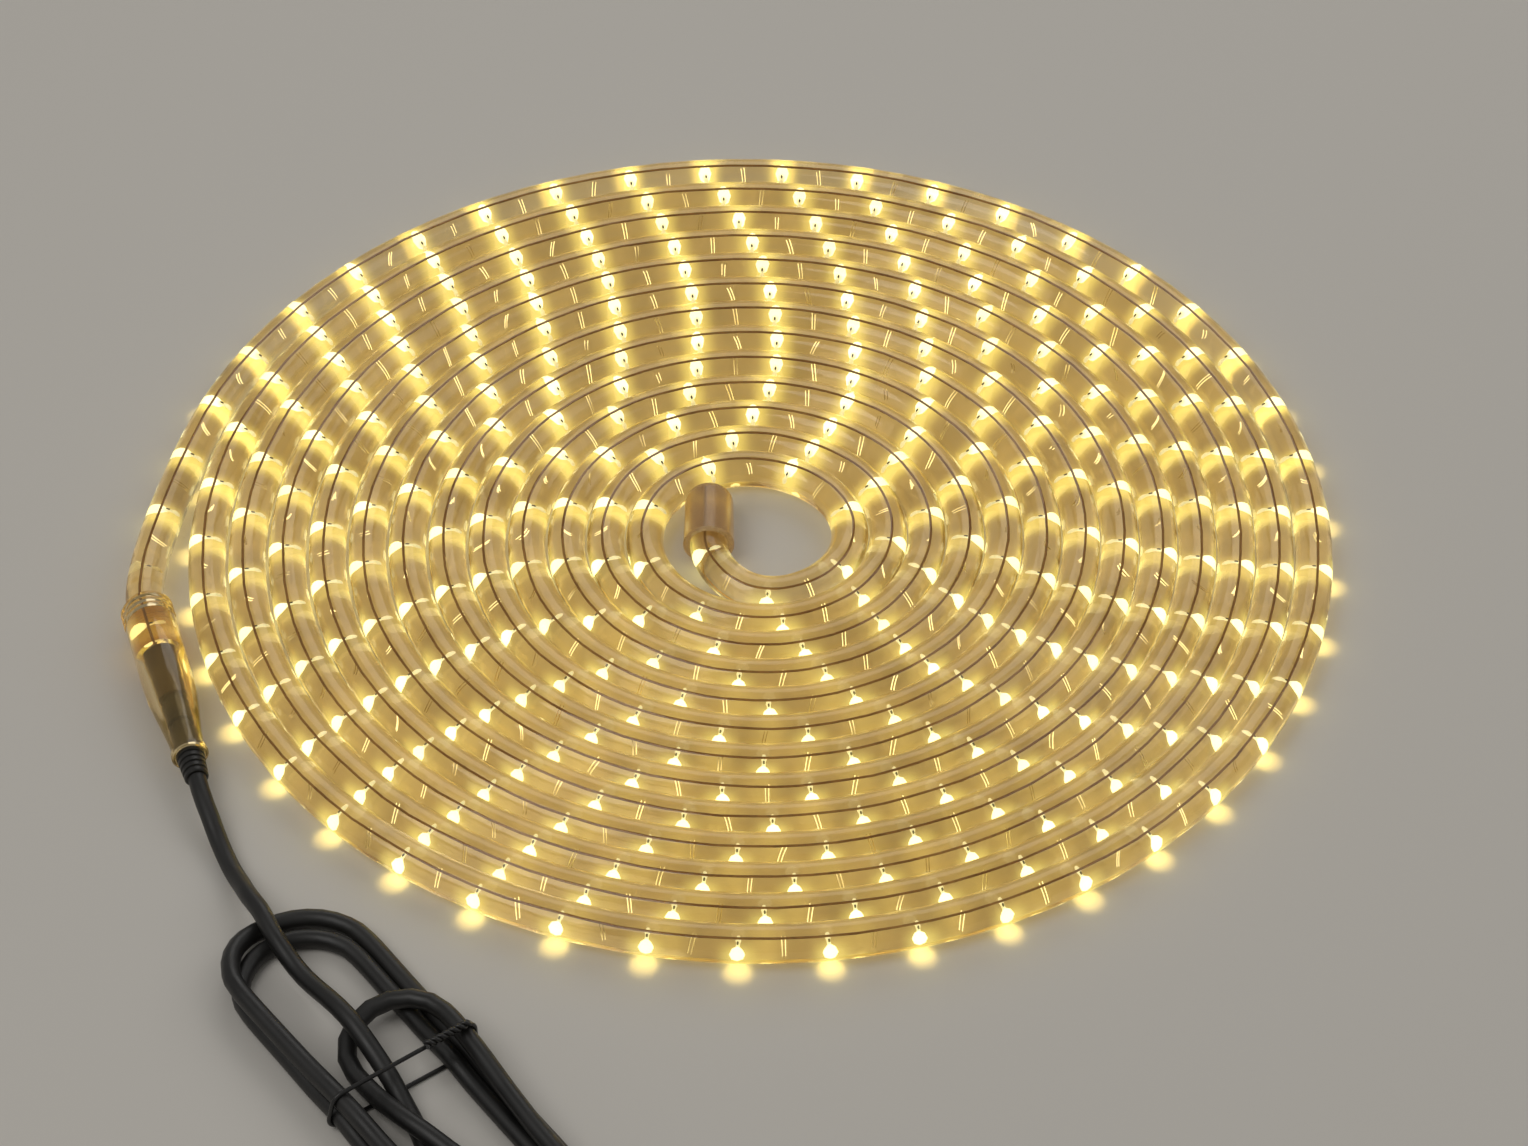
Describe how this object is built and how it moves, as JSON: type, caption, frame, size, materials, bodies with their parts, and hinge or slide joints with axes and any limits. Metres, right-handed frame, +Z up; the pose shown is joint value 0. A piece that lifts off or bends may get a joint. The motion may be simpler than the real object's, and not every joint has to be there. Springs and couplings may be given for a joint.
{
  "type": "rope light",
  "caption": "Clear plastic rope light laid in a flat spiral coil, with a closed end cap, a sleeved power connector and a mains lead folded into a hank.",
  "frame": {"origin": "on the floor, under the middle of the box round the coil with its cap, sleeve and connector, without the lead", "axes": "+Z up from the floor, through the coil's thin direction; the connector leaves the coil on its -X side and points to -Y"},
  "size_m": [0.4002, 0.5328, 0.0173],
  "materials": {
    "clear_pvc": "clear soft PVC, smooth extruded",
    "cap_pvc": "milky moulded PVC, satin",
    "sleeve_pvc": "clear moulded PVC, glossy",
    "black_moulding": "moulded black PVC, satin",
    "black_cord": "extruded black sheath, satin",
    "tie": "plastic-coated wire tie",
    "plug_pins": "nickel-plated brass"
  },
  "bodies": {
    "root": {"rope": "clear_pvc", "end_cap": "cap_pvc", "connector_sleeve": "sleeve_pvc", "cord_connector": "black_moulding", "power_cord": "black_cord", "cord_hank": "black_cord", "hank_tie": "tie", "power_cord_tail": "black_cord", "plug_body": "black_moulding", "plug_pin_1": "plug_pins", "plug_pin_2": "plug_pins"}
  },
  "joints": []
}
